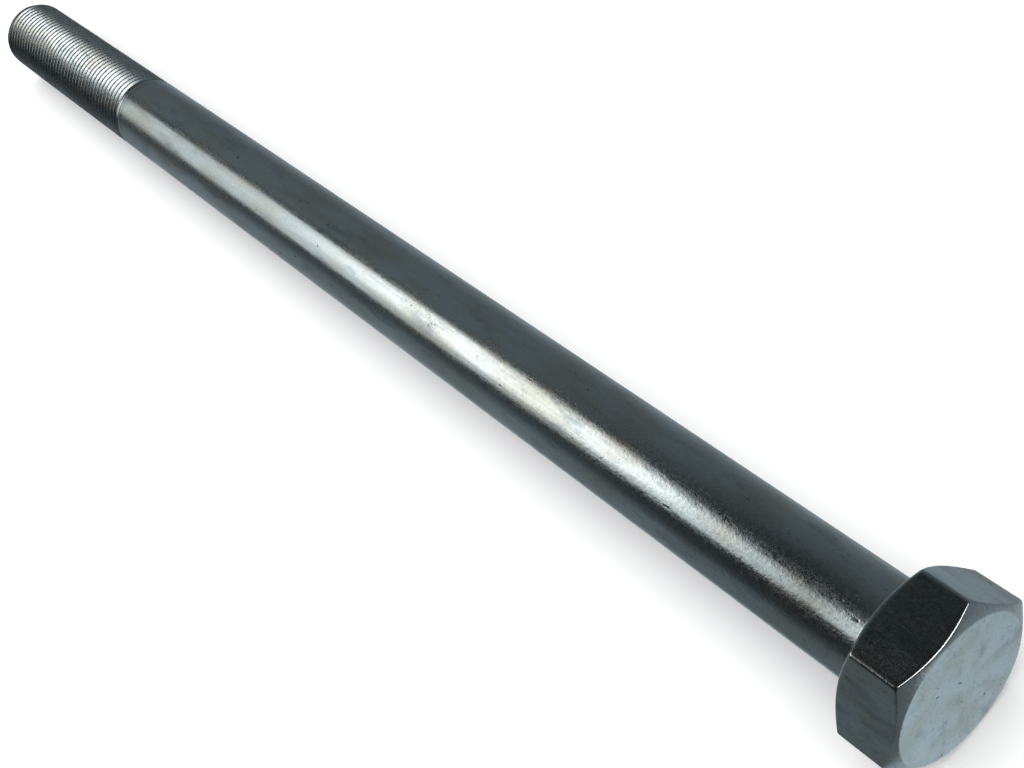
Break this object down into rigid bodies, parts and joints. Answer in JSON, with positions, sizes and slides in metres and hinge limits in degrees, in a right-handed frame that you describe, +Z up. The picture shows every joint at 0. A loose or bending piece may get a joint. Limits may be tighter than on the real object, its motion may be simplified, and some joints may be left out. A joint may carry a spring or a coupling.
{
  "type": "fender bolt",
  "caption": "Long hexagon head bolt with a plain shank and a fine thread on its free end, for clamping a fender or mudguard through a deep bracket.",
  "frame": {"origin": "centre of the bearing face under the head, on the bolt's axis", "axes": "+X along the bolt's axis from the head to the threaded end, +Z up, square to two flats of the head"},
  "size_m": [0.28, 0.0274, 0.024],
  "materials": {
    "zinc_plated_steel": "bright zinc plate over turned and forged steel, with fine drawn lines along the shank"
  },
  "bodies": {
    "root": {"bolt": "zinc_plated_steel"}
  },
  "joints": []
}
